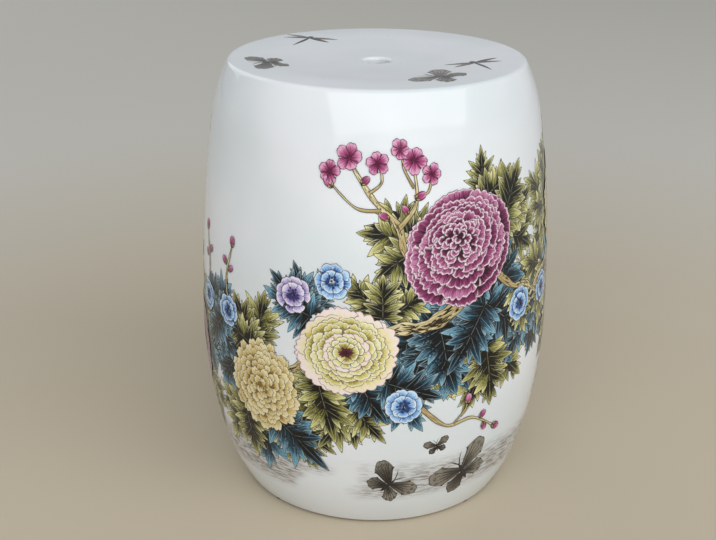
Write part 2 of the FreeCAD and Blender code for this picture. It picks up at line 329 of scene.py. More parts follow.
def wall_section(sizes, end, belly, joint_height, turn_height, rows):
    """A section of the wall, out along its end arc and its belly arc to the belly joint, and back inside."""
    joint = rise_at(end, joint_height)
    inner_joint = rise_at(end, joint_height, sizes.wall)
    turn = rise_at(belly, turn_height)
    section = Section(*point_on(end, joint))
    section.wall_arc(end, joint, turn, rows[0])
    section.wall_arc(belly, turn, 0, rows[1], joint_first=False)
    section.line(sizes.belly_radius - sizes.wall, sizes.belly_height)
    section.arc(belly, turn, rows[1])
    section.arc(end, inner_joint - turn, rows[2])
    return section


def upper_section(sizes):
    """The wall from the belly joint up to the seat's underside."""
    upper, shoulder = side_arcs(sizes)[2:]
    return wall_section(sizes, shoulder, upper, sizes.seat_under, upper.top, (12, 36, 8))


def lower_section(sizes):
    """The wall from the foot joint up to the belly joint."""
    foot, lower = side_arcs(sizes)[:2]
    return wall_section(sizes, foot, lower, sizes.foot_joint, foot.top, (12, 24, 10))


def foot_section(sizes):
    """The thick foot ring, from its bare bottom to its joint with the wall."""
    foot = side_arcs(sizes)[0]
    joint = rise_at(foot, sizes.foot_joint)
    bottom = rise_at(foot, sizes.foot_bottom)
    inner_joint = rise_at(foot, sizes.foot_joint, sizes.wall)
    section = Section(*point_on(foot, joint))
    section.wall_arc(foot, joint, bottom, 8)
    section.line(point_on(foot, bottom)[0] - sizes.foot_width, sizes.foot_bottom)
    section.line(point_on(foot, inner_joint, sizes.wall)[0], sizes.foot_joint, 3)
    return section


def round_foot(mesh, sizes):
    """Rounds the bottom edges of the foot ring and leaves the flat between them bare."""
    low = sizes.foot_bottom + SAME_LEVEL
    rims = [
        edge
        for edge in mesh.edges
        if max(vert.co.z for vert in edge.verts) < low
        and abs(edge.verts[0].co.xy.length - edge.verts[1].co.xy.length) < SAME_LEVEL
    ]
    bmesh.ops.bevel(
        mesh, geom=rims, offset=sizes.foot_round, segments=5, profile=0.5, affect="EDGES", material=-1
    )
    for face in mesh.faces:
        if all(vert.co.z < low for vert in face.verts):
            face.material_index = 1


# Materials

SMOOTH = {"interpolation_type": "SMOOTHSTEP"}
COLOUR = {"data_type": "RGBA"}
# The sockets that a Mix node uses for colours
FACTOR, UNDER, OVER = 0, 6, 7
# Where a coat of colour lies: a value, where in it the coat starts and is full, and its least and most share
Reach = namedtuple("Reach", "value start full least most", defaults=(0.0, 1.0))


def add(tree, kind, sockets=None, **settings):
    """One node of a material, with its settings, and with its sockets set or linked. A node that is given
    for a socket stands for its first live output."""
    node = tree.nodes.new(kind)
    for name, value in settings.items():
        setattr(node, name, value)
    for socket, value in (sockets or {}).items():
        if isinstance(value, bpy.types.Node):
            value = next(output for output in value.outputs if output.enabled)
        if isinstance(value, bpy.types.NodeSocket):
            tree.links.new(value, node.inputs[socket])
        else:
            node.inputs[socket].default_value = value
    return node


def new_material(name):
    """An empty node material."""
    material = bpy.data.materials.new(name)
    material.use_nodes = True
    material.node_tree.nodes.clear()
    return material


def surface(material, sockets):
    """Gives a material its shader and its output."""
    tree = material.node_tree
    shader = add(tree, "ShaderNodeBsdfPrincipled", sockets)
    add(tree, "ShaderNodeOutputMaterial", {"Surface": shader})
    return material


def coat(tree, base, tint, *reaches):
    """Lays a coat of colour over a base, where its reaches meet."""
    share = None
    for reach in reaches:
        stretch = dict(zip(("Value", "From Min", "From Max", "To Min", "To Max"), reach))
        held = add(tree, "ShaderNodeMapRange", stretch, **SMOOTH)
        share = add(tree, "ShaderNodeMath", {0: share, 1: held}, operation="MULTIPLY") if share else held
    return add(tree, "ShaderNodeMix", {FACTOR: share, UNDER: base, OVER: tint}, **COLOUR)


GLAZE_GLOSS = {"Roughness": 0.1, "IOR": 1.5}
# Fired lead enamel lies a little duller than the glaze
ENAMEL_GLOSS = {"Roughness": 0.13, "IOR": 1.5, "Specular IOR Level": 0.36}
# A dipped glaze waves about a quarter of a millimetre over a hand's breadth
WAVE = 55 * MM
WAVE_HEIGHT = 0.25 * MM


def glaze_waves(tree):
    """The soft unevenness of a hand-dipped glaze, as a normal that runs through body and painting alike."""
    place = add(tree, "ShaderNodeTexCoord").outputs["Object"]
    waves = add(tree, "ShaderNodeTexNoise", {"Vector": place, "Scale": 1 / WAVE, "Detail": 1.0})
    return add(tree, "ShaderNodeBump", {"Height": waves, "Distance": WAVE_HEIGHT, "Strength": 1.0})


# Sizes of the patterns in the glaze: the clouds where it pools, the patches of the ground wash, the brush
# streaks in them, round and up, and the spacing of the iron specks
CLOUD = 140 * MM
PATCH = 90 * MM
STREAK_ROUND = 11 * MM
STREAK_UP = 1.8 * MM
SPECK_SPACING = 12.5 * MM


def porcelain_glaze(colours):
    """Hard porcelain under a clear feldspar glaze, dipped and fired: white, bluish grey in clouds where the
    glaze pools and greyer towards the foot as painted shade, with a mirror gloss that waves a little, sparse
    iron specks, and a thin ground wash brushed on round the wall above the foot."""
    material = new_material("clear glaze over porcelain")
    tree = material.node_tree
    pooled_shade_tint = tuple(colours.glaze_pools_and_foot_shade)
    place = add(tree, "ShaderNodeTexCoord").outputs["Object"]
    height = add(tree, "ShaderNodeSeparateXYZ", {"Vector": place}).outputs["Z"]

    # The glaze pools bluish grey in clouds, and painted shade greys it towards the foot
    cloud = add(tree, "ShaderNodeTexNoise", {"Vector": place, "Scale": 1 / CLOUD, "Detail": 2.0})
    base = coat(tree, tuple(colours.glaze), pooled_shade_tint, Reach(cloud, 0.35, 0.7))
    # Painted shade: the wall greys towards the foot, reaching half strength at the floor
    base = coat(tree, base, pooled_shade_tint, Reach(height, 0.1, 0.0, most=0.5))

    # The ground wash: patches of flat streaks in a band above the foot
    flat = (1 / STREAK_ROUND, 1 / STREAK_ROUND, 1 / STREAK_UP)
    stretched = add(tree, "ShaderNodeMapping", {"Vector": place, "Scale": flat})
    streaks = add(tree, "ShaderNodeTexNoise", {"Vector": stretched, "Scale": 1.0, "Detail": 4.0})
    patches = add(tree, "ShaderNodeTexNoise", {"Vector": place, "Scale": 1 / PATCH, "Detail": 2.0})
    marks = (Reach(streaks, 0.4, 0.62, 0.285, 0.95), Reach(patches, 0.36, 0.54))
    band = (Reach(height, 0.034, 0.052), Reach(height, 0.096, 0.07))
    base = coat(tree, base, tuple(colours.ground), *marks, *band)

    # Iron specks: a small dot in one of seven cells
    cells = add(tree, "ShaderNodeTexVoronoi", {"Vector": place, "Scale": 1 / SPECK_SPACING})
    pick = add(tree, "ShaderNodeSeparateColor", {"Color": cells.outputs["Color"]})
    dot = Reach(cells.outputs["Distance"], 0.05, 0.03)
    base = coat(tree, base, tuple(colours.speck), dot, Reach(pick, 0.86, 0.87))
    return surface(material, {"Base Color": base, "Normal": glaze_waves(tree), **GLAZE_GLOSS})


def matt(name, tint, roughness, grain, relief, stain, stained):
    """A matt material. grain is a fine noise, relief how it stands up, stain a broad noise, and stained the
    value of the tint across it."""
    material = new_material(name)
    tree = material.node_tree
    place = add(tree, "ShaderNodeTexCoord").outputs["Object"]
    bumps, clouds = (add(tree, "ShaderNodeTexNoise", {"Vector": place, **noise}) for noise in (grain, stain))
    value = add(tree, "ShaderNodeMapRange", {"Value": clouds, **stained}, **SMOOTH)
    base = add(tree, "ShaderNodeHueSaturation", {"Color": tint, "Value": value})
    normal = add(tree, "ShaderNodeBump", {"Height": bumps, **relief})
    return surface(material, {"Base Color": base, "Roughness": roughness, "Normal": normal})


BISCUIT_GRAIN = 1.1 * MM
BISCUIT_STAIN = 38 * MM


def bare_porcelain(colours):
    """Biscuit porcelain, wiped clean of glaze and fired: warm white and matt, with a sandy grain that is
    drawn coarser than real so that it shows."""
    return matt(
        "bare biscuit porcelain",
        tuple(colours.biscuit),
        roughness=0.82,
        grain={"Scale": 1 / BISCUIT_GRAIN, "Detail": 3.0},
        relief={"Distance": 0.2 * MM, "Strength": 0.6},
        stain={"Scale": 1 / BISCUIT_STAIN, "Detail": 3.0},
        stained={"From Min": 0.3, "From Max": 0.75, "To Min": 1.0, "To Max": 0.8},
    )


RUBBER_GRAIN = 0.6 * MM
RUBBER_DUST = 4.2 * MM


def pad_rubber(colours):
    """Moulded nitrile rubber: near black and matt, with a dusty bloom and a fine moulded grain."""
    return matt(
        "moulded nitrile rubber",
        tuple(colours.rubber),
        roughness=0.75,
        grain={"Scale": 1 / RUBBER_GRAIN, "Detail": 2.0},
        relief={"Distance": 0.1 * MM, "Strength": 0.5},
        stain={"Scale": 1 / RUBBER_DUST, "Detail": 3.0},
        stained={"From Min": 0.35, "From Max": 0.75, "To Min": 1.0, "To Max": 2.2},
    )


# A hair's mark is 11 times as long as it is wide, and a stroke's tone moves it to other hairs
HAIR_SLIMNESS = 0.09
HAIRS_APART = 37.0


def enamel(
    family, colours, outline, streak=1.3, rim=2.6, strength=0.85, vein=0.0, lines=0.0, tones=0.1, shade=0.0
):
    """Overglaze enamel of one colour family, painted wet in wet and fired on: each stroke runs from a deep
    foot to a pale rim, shows the hairs of the brush along it, and has a thin ink outline. Sizes are in mm:
    streak is the width of a hair's mark, rim that of the pale rim. strength is the rim's, vein that of a
    pale line down the middle and lines that of dark hairs; tones lets strokes differ, and shade deepens
    their feet."""
    material = new_material(family + " enamel")
    tree = material.node_tree
    deep, mid, light, pale = (tuple(getattr(colours, f"{family}_{part}")) for part in ENAMEL_PARTS)
    brush = add(tree, "ShaderNodeAttribute", attribute_name="brush").outputs["Vector"]
    grain = add(tree, "ShaderNodeAttribute", attribute_name="grain").outputs["Vector"]
    marks = add(tree, "ShaderNodeSeparateXYZ", {"Vector": brush}).outputs
    spots = add(tree, "ShaderNodeSeparateXYZ", {"Vector": grain}).outputs

    # The hairs of the brush, and the load of enamel that each stroke was laid with
    along_hairs = (1 / streak, HAIR_SLIMNESS / streak, HAIRS_APART)
    hairs_at = add(tree, "ShaderNodeMapping", {"Vector": grain, "Scale": along_hairs})
    hairs = add(tree, "ShaderNodeTexNoise", {"Vector": hairs_at, "Scale": 1.0, "Detail": 2.0})
    sway = {"Value": hairs, "From Min": 0.25, "From Max": 0.75, "To Min": -0.2, "To Max": 0.2}
    swing = add(tree, "ShaderNodeMapRange", sway, **SMOOTH)
    loads = {"Value": spots["Z"], "To Min": -tones, "To Max": tones}
    load = add(tree, "ShaderNodeMapRange", loads, **SMOOTH)
    shift = add(tree, "ShaderNodeMath", {0: swing, 1: load}, operation="ADD")
    depth = add(tree, "ShaderNodeMath", {0: marks["Z"], 1: shift}, operation="ADD")

    # From the deep foot through the body to the light tip
    base = coat(tree, deep, mid, Reach(depth, 0.08 + shade, 0.48 + shade))
    base = coat(tree, base, light, Reach(depth, 0.45 + shade, 0.95 + shade / 2))
    if lines:
        fine = add(tree, "ShaderNodeTexNoise", {"Vector": hairs_at, "Scale": 2.2, "Detail": 1.0})
        base = coat(tree, base, deep, Reach(fine, 0.55, 0.66, most=lines))

    # The pale rim, ragged by the hairs, on the part that shows
    near = add(tree, "ShaderNodeMath", {0: marks["X"], 1: marks["Y"]}, operation="MINIMUM")
    ragged = add(tree, "ShaderNodeMath", {0: swing, 1: rim * 1.6, 2: near}, operation="MULTIPLY_ADD")
    edge = Reach(ragged, rim, 0.3 * rim, most=strength)
    base = coat(tree, base, pale, edge, Reach(marks["Z"], 0.25, 0.6))
    if vein:
        middle = add(tree, "ShaderNodeMath", {0: spots["X"]}, operation="ABSOLUTE")
        base = coat(tree, base, pale, Reach(middle, 0.5, 0.2, most=vein))

    # The ink outline, tinted by the enamel over it
    ink = add(tree, "ShaderNodeMix", {FACTOR: 0.25, UNDER: tuple(colours.ink), OVER: deep}, **COLOUR)
    base = coat(tree, base, ink, Reach(near, 1.25 * outline, 0.6 * outline, most=0.92))
    return surface(material, {"Base Color": base, "Normal": glaze_waves(tree), **ENAMEL_GLOSS})


# Canvases


def side_canvas(sizes):
    """Takes a spot of the painting, in mm round the wall and up it, to the wall, lifted by some mm."""
    arcs = side_arcs(sizes)
    belly = sizes.belly_radius

    def place(across, up, lift):
        arc = next(stretch for stretch in arcs if up * MM <= stretch.top)
        radius, height = point_on(arc, rise_at(arc, up * MM), -lift * MM)
        turn = across * MM / belly
        return Vector((radius * math.sin(turn), -radius * math.cos(turn), height))

    return place


def seat_canvas(sizes):
    """Takes a spot of the painting, in mm to the right and back of the seat's middle, to the seat."""
    blend, dish, slope = seat_arcs(sizes)
    meeting = dish.curve * math.sin(slope)
    top = sizes.stool_height

    def place(across, back, lift):
        radius = math.hypot(across, back) * MM
        if radius > blend.radius:
            height = top
        elif radius > meeting:
            height = blend.height + math.sqrt(blend.curve ** 2 - (blend.radius - radius) ** 2)
        else:
            height = dish.height - math.sqrt(dish.curve ** 2 - radius ** 2)
        return Vector((across * MM, back * MM, height + lift * MM))

    return place


def pose(across, up, turn=0.0):
    """A place on the canvas, with a turn in degrees."""
    return Matrix.Translation((across, up, 0)) @ Matrix.Rotation(math.radians(turn), 4, "Z")


def spoke(turn, out, lean=0.0):
    """A place out along a spoke that is turned by some degrees, with a further lean."""
    return pose(0, 0, turn) @ pose(0, out, lean)


class Painter:
    """Lays strokes of enamel on a canvas: each is a thin sheet that carries its own brush marks"""

    # The operators are quick on a small sheet, so one with more points than this is put with the finished
    SHEET_POINTS = 1500

    def __init__(self, canvas, dice):
        self.canvas = canvas
        self.dice = dice
        self.done = bmesh.new()
        self.begin()

    def begin(self):
        """A fresh sheet for the next strokes."""
        self.mesh = bmesh.new()
        self.brush = self.mesh.verts.layers.float_vector.new("brush")
        self.grain = self.mesh.verts.layers.float_vector.new("grain")

    def settle(self):
        """Adds the strokes on the sheet to those that are done."""
        data = bpy.data.meshes.new("strokes")
        self.mesh.to_mesh(data)
        self.mesh.free()
        self.done.from_mesh(data)
        bpy.data.meshes.remove(data)
        self.begin()

    def stroke(self, outline, at, lift, cells, tone=None, lean=0.0, paint=0, hidden=0.0):
        """One stroke. outline takes a share across, -1 to 1, and along, 0 to 1, to x, y, half width, reach
        and widest half width in mm. cells counts the faces across and along; tone is how full the brush was,
        thrown where it isn't given; lean raises one side over the other, so that strokes in a ring lap over
        each other; hidden is the share of the stroke that others cover, from which the colours run."""
        if tone is None:
            tone = self.dice.random()
        grid = bmesh.ops.create_grid(self.mesh, x_segments=cells[0], y_segments=cells[1], size=1.0)
        for vert in grid["verts"]:
            across = vert.co.x
            along = (vert.co.y + 1) / 2
            x, y, half, reach, widest = outline(across, along)
            spot = at @ Vector((x, y, 0))
            shown = max(0.0, (along - hidden) / (1 - hidden))
            vert[self.brush] = ((1 - abs(across)) * half, (1 - along) * reach, shown)
            vert[self.grain] = (across * widest, y, tone)
            vert.co = self.canvas(spot.x, spot.y, lift + lean * across)
        for face in {face for vert in grid["verts"] for face in vert.link_faces}:
            face.material_index = paint
        if len(self.mesh.verts) > self.SHEET_POINTS:
            self.settle()


# Strokes, in mm

# The least half width that a brush leaves
HAIRLINE = 0.08
# The swellings of a branch: share of its width, turn in radians per mm, and start
KNOTS = ((0.14, 0.13, 0), (0.1, 0.31, 1))
# A curve is followed to this share of its way, just short of its last point
CURVE_END = 0.99999


def fan(reach, width, lobes, notch, foot=0.16):
    """A petal that spreads from a narrow foot to a scalloped edge."""

    def outline(across, along):
        half = width * (foot + (1 - foot) * along ** 0.62)
        droop = 0.42 * across * across * along ** 3
        scallop = notch * abs(math.sin(lobes * math.pi * (across + 1) / 2)) * along ** 4
        return across * half, reach * (along - droop + scallop), half, reach, width

    return outline


def blade(reach, width, bend=0.0):
    """A pointed stroke, fullest below its middle, that may bend to one side."""

    def outline(across, along):
        half = max(HAIRLINE, width * math.sin(math.pi * along ** 0.78) ** 0.8)
        return across * half + bend * reach * along * along, reach * along, half, reach, width

    return outline


def drop(reach, width):
    """An oval stroke."""

    def outline(across, along):
        half = max(HAIRLINE, width * math.sin(math.pi * along))
        return across * half, reach * (1 - math.cos(math.pi * along)) / 2, half, reach, width

    return outline


def ribbon(points, start_width, end_width):
    """A long gnarled stroke of changing width along a smooth curve through some points."""
    spots = [Vector(point) for point in points]
    ends = [spots[0], *spots, spots[-1]]
    total = sum((b - a).length for a, b in zip(spots, spots[1:]))

    def curve(share):
        place = min(max(share, 0.0), CURVE_END) * (len(spots) - 1)
        t = place - int(place)
        a, b, c, d = ends[int(place):int(place) + 4]
        bend = (2 * a - 5 * b + 4 * c - d) * t ** 2
        twist = (3 * b - a - 3 * c + d) * t ** 3
        return 0.5 * (2 * b + (c - a) * t + bend + twist)

    def outline(across, along):
        ahead = curve(along + 0.01) - curve(along - 0.01)
        side = Vector((ahead.y, -ahead.x)).normalized()
        gnarl = 1 + sum(swell * math.sin(pace * total * along + start) for swell, pace, start in KNOTS)
        half = (start_width + (end_width - start_width) * along) * gnarl
        where = curve(along) + side * (across * half)
        return where.x, where.y, half, total, half

    return outline


# Motifs

# A ring of petals: how many, the radius that their tips reach, the one inside which others cover them, and
# their length, as shares of the bloom's radius, their width as a share of their spacing, lobes and enamel
Ring = namedtuple("Ring", "count tip inner reach spread lobes paint", defaults=(0,))
# Cells across and along a petal; a broad one needs more, or the wall's curve brings it under its neighbour
BROAD, MIDDLING, SMALL = (20, 6), (12, 5), (8, 4)
# The turn in degrees from one floret of a sunflower to the next
GOLDEN_ANGLE = 137.508
# How much higher one side of a petal lies than its middle, in mm, so that it laps over the next petal
PETAL_LEAN = 0.014
# How far the dome of a rosette and the star of an anemone lie over their lowest petals, in mm
DOME_UP = 0.175
STAR_UP = 0.24


def petal_ring(painter, at, radius, lift, ring, notch, cells):
    """A ring of petals in a bloom of some radius."""
    dice = painter.dice
    for petal in range(ring.count):
        turn = 360 * (petal + dice.uniform(-0.2, 0.2)) / ring.count
        size = radius * ring.reach * dice.uniform(0.92, 1.14)
        end = radius * ring.tip * dice.uniform(0.95, 1.04)
        width = math.tau * radius * ring.tip / ring.count * ring.spread * dice.uniform(0.86, 1.14)
        hidden = min(0.8, max(0.0, 1 - (end - radius * ring.inner) / size))
        foot = at @ spoke(turn, end - size, dice.uniform(-12, 12))
        shape = fan(size, width, ring.lobes + dice.choice((-1, 0, 0, 1)), notch * dice.uniform(0.6, 1.3))
        painter.stroke(shape, foot, lift, cells, lean=PETAL_LEAN, paint=ring.paint, hidden=hidden)


def petal_rings(painter, at, radius, lift, rings, step, hang, notch):
    """Rings of petals from the outer one in, each a step higher; hang sets the inner ones off the middle."""
    for level, ring in enumerate(rings):
        drift = hang * radius * (1 - ring.tip)
        middle = at @ pose(0, drift, painter.dice.uniform(0, 360 / ring.count))
        cells = BROAD if ring.lobes > 4 else MIDDLING
        petal_ring(painter, middle, radius, lift + step * level, ring, notch, cells)


def dome(painter, at, radius, lift, petals, lobes, notch, loose):
    """A dome of small petals in a sunflower spiral, the middle ones on top; loose ones lie at all angles."""
    dice = painter.dice
    spacing = radius * math.sqrt(math.pi / petals)
    for petal in range(petals, 0, -1):
        share = petal / petals
        tip = radius * math.sqrt(share) * dice.uniform(1 - 0.06 * loose, 1 + 0.06 * loose)
        reach = spacing * (1.5 + 0.8 * share) * dice.uniform(0.85, 1.2)
        width = spacing * (0.62 + 0.26 * share) * dice.uniform(0.85, 1.2)
        foot = at @ spoke(petal * GOLDEN_ANGLE, tip - reach * 0.9, dice.uniform(-26, 26) * loose)
        raised = lift + 0.3 * (1 - share)
        painter.stroke(fan(reach, width, lobes, notch, 0.3), foot, raised, (8, 5), lean=0.006, hidden=0.36)


def rosette(painter, at, radius, lift):
    """A full double bloom: broad scalloped petals that hang lower in front, and a ruffled dome over them."""
    rings = (
        Ring(9, 1.0, 0.68, 0.5, 0.66, 7),
        Ring(9, 0.87, 0.54, 0.48, 0.68, 6),
        Ring(9, 0.74, 0.42, 0.44, 0.68, 6),
        Ring(9, 0.61, 0.3, 0.38, 0.7, 5),
        Ring(9, 0.5, 0.22, 0.32, 0.7, 5),
    )
    petal_rings(painter, at, radius, lift, rings, step=0.036, hang=0.34, notch=0.12)
    middle = at @ pose(0, 0.2 * radius)
    dome(painter, middle, 0.42 * radius, lift + DOME_UP, petals=36, lobes=3, notch=0.16, loose=1.0)


def pompon(painter, at, radius, lift):
    """A full round bloom of small petals."""
    dome(painter, at, radius, lift, petals=112, lobes=2, notch=0.15, loose=0.5)


def anemone(painter, at, radius, lift):
    """A cream bloom: broad blush petals, rings of cream ones and a dark star in its heart."""
    rings = (
        Ring(9, 1.0, 0.68, 0.52, 0.72, 5, 1),
        Ring(13, 0.82, 0.62, 0.36, 0.62, 3),
        Ring(14, 0.72, 0.5, 0.32, 0.62, 3),
        Ring(13, 0.6, 0.39, 0.28, 0.62, 2),
        Ring(12, 0.48, 0.28, 0.25, 0.62, 2, 1),
        Ring(11, 0.37, 0.17, 0.2, 0.62, 2),
        Ring(8, 0.26, 0.06, 0.16, 0.64, 2),
    )
    petal_rings(painter, at, radius, lift, rings, step=0.03, hang=0.0, notch=0.13)
    for ray in range(12):
        foot = at @ pose(0, 0, ray * 30 + painter.dice.uniform(-9, 9))
        shape = blade(radius * painter.dice.uniform(0.1, 0.17), radius * 0.034)
        painter.stroke(shape, foot, lift + STAR_UP, (2, 4), lean=0.004, paint=2)


def aster(painter, at, radius, lift, paint):
    """A small flower: two rings of round petals about a ring of dots."""
    rings = (Ring(8, 1.0, 0.56, 0.66, 0.56, 2, paint), Ring(7, 0.66, 0.2, 0.5, 0.58, 2, paint))
    for level, ring in enumerate(rings):
        petal_ring(painter, at @ pose(0, 0, 22 * level), radius, lift + 0.03 * level, ring, 0.1, SMALL)
    for dot in range(14):
        foot = at @ spoke(dot * GOLDEN_ANGLE, radius * 0.08 * math.sqrt(dot))
        shape = drop(radius * 0.14, radius * 0.06)
        painter.stroke(shape, foot, lift + 0.07, (2, 4), tone=0.0, paint=paint, hidden=0.7)


def blossom(painter, at, radius, lift):
    """A plum blossom: five round petals and a few stamens over a dark middle."""
    dice = painter.dice
    middle = drop(radius * 0.3, radius * 0.15)
    painter.stroke(middle, at @ pose(0, -0.15 * radius), lift, (4, 4), tone=0.0, hidden=0.8)
    for petal in range(5):
        foot = at @ spoke(72 * petal + dice.uniform(-7, 7), 0.04 * radius)
        shape = fan(radius * dice.uniform(0.82, 1.04), radius * 0.5, 2, 0.1, 0.2)
        painter.stroke(shape, foot, lift, SMALL, lean=PETAL_LEAN)
    for stamen in range(7):
        foot = at @ spoke(stamen * 51 + dice.uniform(-8, 8), radius * 0.1)
        painter.stroke(drop(radius * 0.34, radius * 0.035), foot, lift + 0.03, (2, 4), tone=0.0)


# Lobes down each side of a leaf, and the teeth of a lobe: start, turn, length, half width
LEAF_PAIRS = 4
LOBE = ((0.2, -30, 0.6, 0.05), (0.2, 30, 0.6, 0.05), (0.0, 0, 1.0, 0.075))
# How much higher each row of a leaf's teeth lies, in mm
LEAF_STEP = 0.012


def leaf(painter, at, reach, lift, bend, paint):
    """A cut leaf: lobes of three teeth down both sides of a dark midrib, and one at its tip."""
    dice = painter.dice
    midrib = blade(reach * 0.84, reach * 0.19, bend)
    painter.stroke(midrib, at @ pose(0, -0.04 * reach), lift, (4, 10), tone=0.0, paint=paint, hidden=0.8)
    for pair in range(LEAF_PAIRS + 1):
        last = pair == LEAF_PAIRS
        share = pair / LEAF_PAIRS
        along = reach * 0.54 * share
        level = lift + LEAF_STEP * (5 if last else 1 + 2 * (pair % 2))
        for side in (0,) if last else (-1, 1):
            # The lobes lean out most at the foot of the leaf, and are longest halfway up
            turn = side * -(76 - 44 * share) + dice.uniform(-6, 6)
            lobe = at @ pose(bend * along * along / reach, along, turn)
            full = 0.34 + 0.14 * math.sin(math.pi * (0.25 + 0.55 * share))
            size = reach * full * dice.uniform(0.88, 1.12)
            for start, splay, tooth, width in LOBE:
                shape = blade(size * tooth * dice.uniform(0.88, 1.1), reach * width, 0.1 * side)
                raised = level + (0 if splay else LEAF_STEP)
                painter.stroke(shape, lobe @ pose(0, start * size, splay), raised, (3, 8), paint=paint)


def bud(painter, at, size, lift):
    """A closed bud in its calyx."""
    painter.stroke(drop(size, size * 0.36), at, lift, (6, 6))
    for turn in (-34, 34):
        sepal = at @ pose(0, -0.04 * size, turn)
        painter.stroke(blade(size * 0.5, size * 0.12), sepal, lift + 0.03, (2, 4), tone=0.2, paint=1)


def bark_marks(painter, shape, lift, count):
    """Short ink strokes along a branch."""
    dice = painter.dice
    for mark in range(count):
        along = dice.uniform(0.02, 0.9)
        across = dice.uniform(-0.85, 0.45)
        x, y, half = shape(across, along)[:3]
        ahead = shape(across, along + 0.02)
        turn = math.degrees(math.atan2(x - ahead[0], ahead[1] - y)) + dice.uniform(-22, 10)
        stroke = blade(half * dice.uniform(0.6, 1.8), half * 0.1)
        painter.stroke(stroke, pose(x, y, turn), lift, (2, 5), tone=0.0, hidden=0.95)


# Wings of a butterfly, the lower first: turn, length and half width as shares of the span, lobes
BUTTERFLY_WINGS = ((-120, 0.4, 0.17, 3), (-64, 0.58, 0.2, 2))
WING_VEINS = (-13, -4, 5, 14)
WING_SPOTS = (-0.62, 0.0, 0.62)
# Wings of a dragonfly: turn, length as a share of the span
DRAGONFLY_WINGS = ((72, 0.54), (104, 0.48))


def butterfly(painter, at, span, lift):
    """A butterfly in ink wash: veined and spotted wings, two each side, a body and two feelers."""
    for side in (-1, 1):
        for level, (turn, share, width, lobes) in enumerate(BUTTERFLY_WINGS):
            raised = lift + 0.05 * level
            wing = at @ pose(0, span * (0.06 * level - 0.03), side * turn)
            painter.stroke(fan(span * share, span * width, lobes, 0.06, 0.1), wing, raised, (12, 8))
            for tilt in WING_VEINS:
                vein = blade(span * share * 0.88, span * 0.008)
                painter.stroke(vein, wing @ pose(0, 0, tilt), raised + 0.025, (2, 6), tone=0.0, hidden=0.95)
            for spot in WING_SPOTS:
                mark = wing @ pose(span * width * 0.8 * spot, span * share * (0.78 - 0.12 * spot * spot))
                shape = drop(span * 0.065, span * 0.024)
                painter.stroke(shape, mark, lift + 0.11, (4, 5), tone=1.0, hidden=-4.0)
        feeler = blade(span * 0.26, span * 0.01, side * 0.3)
        painter.stroke(feeler, at @ pose(0, span * 0.14, side * -14), lift + 0.1, (2, 6), tone=0.0)
    body = blade(span * 0.42, span * 0.04)
    painter.stroke(body, at @ pose(0, -span * 0.22), lift + 0.14, (2, 6), tone=0.0, hidden=0.9)


def dragonfly(painter, at, span, lift):
    """A dragonfly in ink wash: four narrow wings on a long body."""
    for side in (-1, 1):
        for turn, share in DRAGONFLY_WINGS:
            wing = blade(span * share, span * 0.06, side * 0.05)
            painter.stroke(wing, at @ pose(0, span * 0.12, side * -turn), lift, (4, 8))
    body = blade(span * 0.76, span * 0.034, 0.05)
    painter.stroke(body, at @ pose(0, span * 0.2, 180), lift + 0.04, (2, 8), tone=0.0, hidden=0.9)
    head = drop(span * 0.12, span * 0.055)
    painter.stroke(head, at @ pose(0, span * 0.14), lift + 0.05, (4, 5), tone=0.0, hidden=0.9)


# Layout of the painting, in mm round the wall from each spray's middle and up from the floor

# A spray has its own middle, is mirrored where side is -1, and has three large blooms
Spray = namedtuple("Spray", "name canvas middle side seed blooms", defaults=((),))
SPRAYS = (
    Spray("front", side_canvas, 0.0, 1, 11, ("rosette", "anemone", "pompon")),
    Spray("right", side_canvas, 386.0, -1, 23, ("pompon", "rosette", "anemone")),
    Spray("left", side_canvas, -386.0, -1, 37, ("anemone", "pompon", "rosette")),
)
# The seat has insects only
SEAT = Spray("seat", seat_canvas, 0.0, 1, 2)
# The large blooms: across, up, radius, turn
HEADS = ((88, 312, 62, 20), (-26, 214, 49, 0), (-118, 160, 50, 84))
# Small asters: across, up, radius, enamel (0 blue, 1 violet)
ASTERS = ((30, 156, 19, 0), (-80, 266, 19, 1), (-40, 284, 18, 0), (-168, 226, 17, 0), (166, 238, 18, 0))
# Leaves that spread from one place: across, up, middle turn, spread, count, length, enamel (0 teal, 1 olive)
LEAF_FANS = (
    (90, 284, 180, 160, 6, 92, 0),
    (62, 244, 160, 80, 3, 76, 0),
    (116, 252, -165, 90, 4, 78, 0),
    (48, 322, 84, 80, 3, 62, 1),
    (134, 322, -72, 90, 4, 70, 1),
    (112, 356, -30, 60, 2, 54, 1),
    (158, 262, -120, 90, 4, 64, 1),
    (-22, 196, 180, 150, 5, 76, 0),
    (-54, 180, 160, 80, 3, 64, 1),
    (10, 184, -150, 80, 3, 66, 0),
    (8, 246, -10, 80, 3, 58, 1),
    (-60, 246, 30, 90, 4, 60, 0),
    (-114, 138, 180, 160, 5, 78, 0),
    (-146, 134, 150, 70, 3, 62, 1),
    (-84, 134, -160, 70, 3, 62, 1),
    (-150, 188, 95, 100, 4, 64, 0),
    (-126, 200, 35, 90, 3, 58, 1),
    (180, 232, -140, 140, 4, 58, 0),
    (-180, 214, 110, 130, 4, 54, 0),
    (88, 232, 178, 110, 4, 80, 0),
    (118, 206, -170, 70, 3, 66, 1),
    (62, 206, 170, 60, 2, 62, 1),
    (-20, 158, -176, 70, 3, 58, 1),
)
# Leaves lie in a few layers, so that they lap cleanly
LEAF_LAYERS = 7
LEAF_LAYER = 0.085
